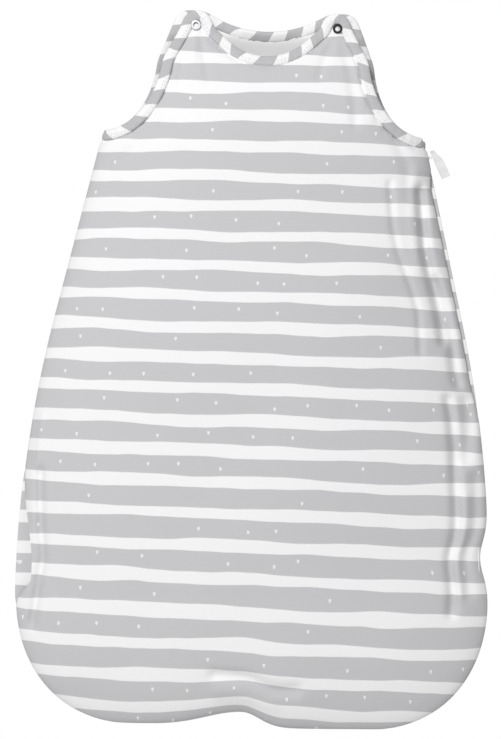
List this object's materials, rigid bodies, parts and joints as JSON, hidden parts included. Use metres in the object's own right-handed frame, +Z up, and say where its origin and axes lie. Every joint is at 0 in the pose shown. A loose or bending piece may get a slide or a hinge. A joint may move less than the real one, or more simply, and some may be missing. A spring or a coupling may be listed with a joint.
{
  "type": "baby sleeping bag",
  "caption": "Sleeveless quilted baby sleeping bag with snap shoulder straps, bound neck and armholes, and a side zip running round the base.",
  "frame": {"origin": "middle of the base of the bag's box: centred left to right and front to back, at the lowest point of the bottom edge", "axes": "+Z up as the bag hangs from its shoulders, +X to the wearer's left (the right of a viewer in front), -Y is the front"},
  "size_m": [0.4622, 0.0819, 0.699],
  "materials": {
    "striped_jersey": "brushed cotton jersey, grey hand-drawn stripes on white",
    "binding_jersey": "cotton jersey binding, grey and white blocks, twin stitched",
    "lining_jersey": "plain white cotton jersey",
    "wadding": "white polyester wadding",
    "snap_metal": "nickel plated brass ring snap",
    "zip_tape": "white woven polyester tape",
    "zip_teeth": "white moulded acetal",
    "zip_metal": "white enamelled zinc",
    "ribbon": "white grosgrain ribbon"
  },
  "bodies": {
    "back": {"back_outer_panel": "striped_jersey", "back_wadding": "wadding", "back_lining": "lining_jersey", "neck_binding_back": "binding_jersey", "armhole_binding_back_left": "binding_jersey", "armhole_binding_back_right": "binding_jersey", "zip_tape_back": "zip_tape", "zip_teeth_back": "zip_teeth", "zip_guard": "zip_tape", "zip_bottom_stop": "zip_teeth", "snap_stud_left": "snap_metal", "snap_stud_right": "snap_metal", "snap_back_ring_left": "snap_metal", "snap_back_ring_right": "snap_metal"},
    "front": {"front_outer_panel": "striped_jersey", "front_wadding": "wadding", "front_lining": "lining_jersey", "neck_binding_front": "binding_jersey", "armhole_binding_front_left": "binding_jersey", "armhole_binding_front_right": "binding_jersey", "zip_tape_front": "zip_tape", "zip_teeth_front": "zip_teeth"},
    "tab_left": {"shoulder_tab_left": "striped_jersey", "tab_binding_left": "binding_jersey", "snap_ring_left": "snap_metal", "snap_socket_left": "snap_metal"},
    "tab_right": {"shoulder_tab_right": "striped_jersey", "tab_binding_right": "binding_jersey", "snap_ring_right": "snap_metal", "snap_socket_right": "snap_metal"},
    "slider": {"zip_slider_body": "zip_metal"},
    "pull": {"zip_pull_tab": "zip_metal", "zip_pull_ribbon": "ribbon"}
  },
  "joints": [
    {"name": "front_open", "type": "hinge", "parent": "back", "child": "front", "pos_m": [-0.19516, -0.0165, 0.35], "axis": [-0.1616, 0, -0.9869], "range_deg": [0, 120]},
    {"name": "tab_left_fold", "type": "hinge", "parent": "front", "child": "tab_left", "pos_m": [0.069, -0.01, 0.67], "axis": [1, 0, 0], "range_deg": [0, 100]},
    {"name": "tab_right_fold", "type": "hinge", "parent": "front", "child": "tab_right", "pos_m": [-0.069, -0.01, 0.67], "axis": [1, 0, 0], "range_deg": [0, 100]},
    {"name": "zip_slide", "type": "slide", "parent": "back", "child": "slider", "axis": [0.2284, 0, -0.9736], "range_m": [0, 0.15]},
    {"name": "pull_swing", "type": "hinge", "parent": "slider", "child": "pull", "pos_m": [0.15645, 0, 0.55976], "axis": [0, 1, 0], "range_deg": [-24, 10]}
  ]
}
